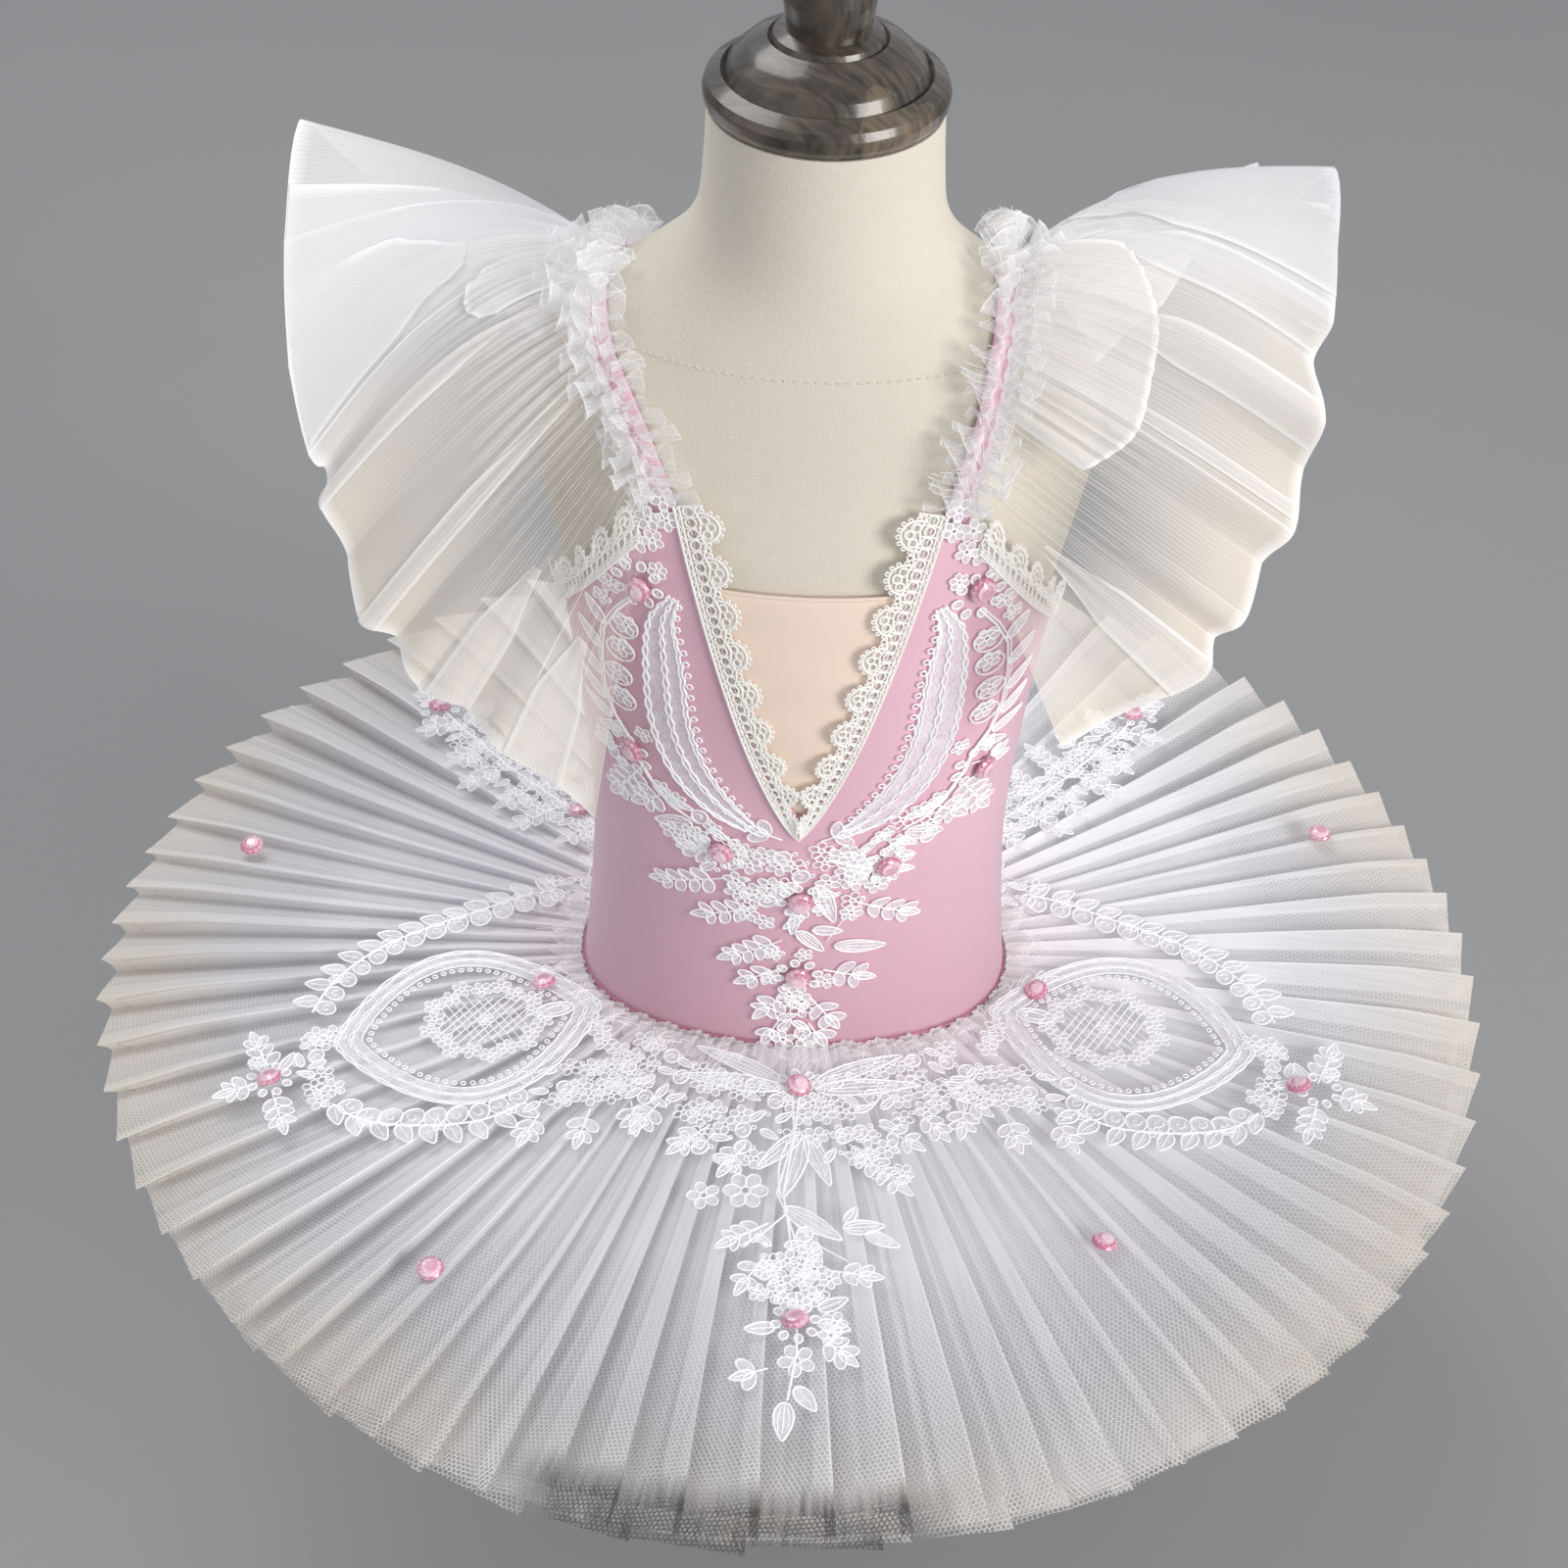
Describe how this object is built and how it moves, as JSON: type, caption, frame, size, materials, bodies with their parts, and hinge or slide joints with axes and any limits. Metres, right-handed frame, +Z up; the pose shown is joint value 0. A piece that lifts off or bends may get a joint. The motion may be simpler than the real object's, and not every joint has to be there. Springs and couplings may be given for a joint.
{
  "type": "ballet tutu on dress form",
  "caption": "Child's ballet tutu with a pleated net platter skirt, satin bodice, lace trims and flutter wings, standing on a limbless dress form with a round wooden base.",
  "frame": {"origin": "centre of the stand base's underside, on the floor", "axes": "+Z up the stand's pole and the form's neck; -Y is the front of the garment; +X is the right of someone who looks at the front"},
  "size_m": [0.6137, 0.6129, 0.803],
  "materials": {
    "linen": "matt woven",
    "dark_wood": "glossy varnish",
    "pink_satin": "soft satin",
    "nude_stretch": "matt",
    "cream_lace": "matt",
    "corded_lace": "soft sheen",
    "white_net": "crisp sheer",
    "pink_crystal": "faceted"
  },
  "bodies": {
    "root": {"applique_back_left": "corded_lace", "applique_back_right": "corded_lace", "applique_bodice_centre": "corded_lace", "applique_crescent_left": "corded_lace", "applique_crescent_right": "corded_lace", "applique_panel_left": "corded_lace", "applique_panel_right": "corded_lace", "applique_side_left": "corded_lace", "applique_side_right": "corded_lace", "applique_skirt_centre": "corded_lace", "applique_sprig_left": "corded_lace", "applique_sprig_right": "corded_lace", "bodice_back": "pink_satin", "bodice_front": "pink_satin", "brief_back": "pink_satin", "brief_front": "pink_satin", "form_body": "linen", "form_cap": "dark_wood", "frill_left": "white_net", "frill_right": "white_net", "gem_bodice_chest_left": "pink_crystal", "gem_bodice_chest_right": "pink_crystal", "gem_bodice_lower": "pink_crystal", "gem_bodice_spray_left": "pink_crystal", "gem_bodice_spray_right": "pink_crystal", "gem_bodice_upper": "pink_crystal", "gem_bodice_waist_left": "pink_crystal", "gem_bodice_waist_right": "pink_crystal", "gem_skirt_back_left": "pink_crystal", "gem_skirt_back_right": "pink_crystal", "gem_skirt_field_left": "pink_crystal", "gem_skirt_field_right": "pink_crystal", "gem_skirt_join": "pink_crystal", "gem_skirt_panel_left": "pink_crystal", "gem_skirt_panel_right": "pink_crystal", "gem_skirt_side_left": "pink_crystal", "gem_skirt_side_right": "pink_crystal", "gem_skirt_sprig_left": "pink_crystal", "gem_skirt_sprig_right": "pink_crystal", "gem_skirt_tip": "pink_crystal", "gem_skirt_waist_left": "pink_crystal", "insert_panel": "nude_stretch", "neck_lace_left": "cream_lace", "neck_lace_right": "cream_lace", "side_lace_left": "cream_lace", "side_lace_right": "cream_lace", "skirt_middle": "white_net", "skirt_top": "white_net", "skirt_under": "white_net", "stand_base": "dark_wood", "stand_pole": "dark_wood", "strap_left": "pink_satin", "strap_right": "pink_satin", "wing_left": "white_net", "wing_right": "white_net"}
  },
  "joints": []
}
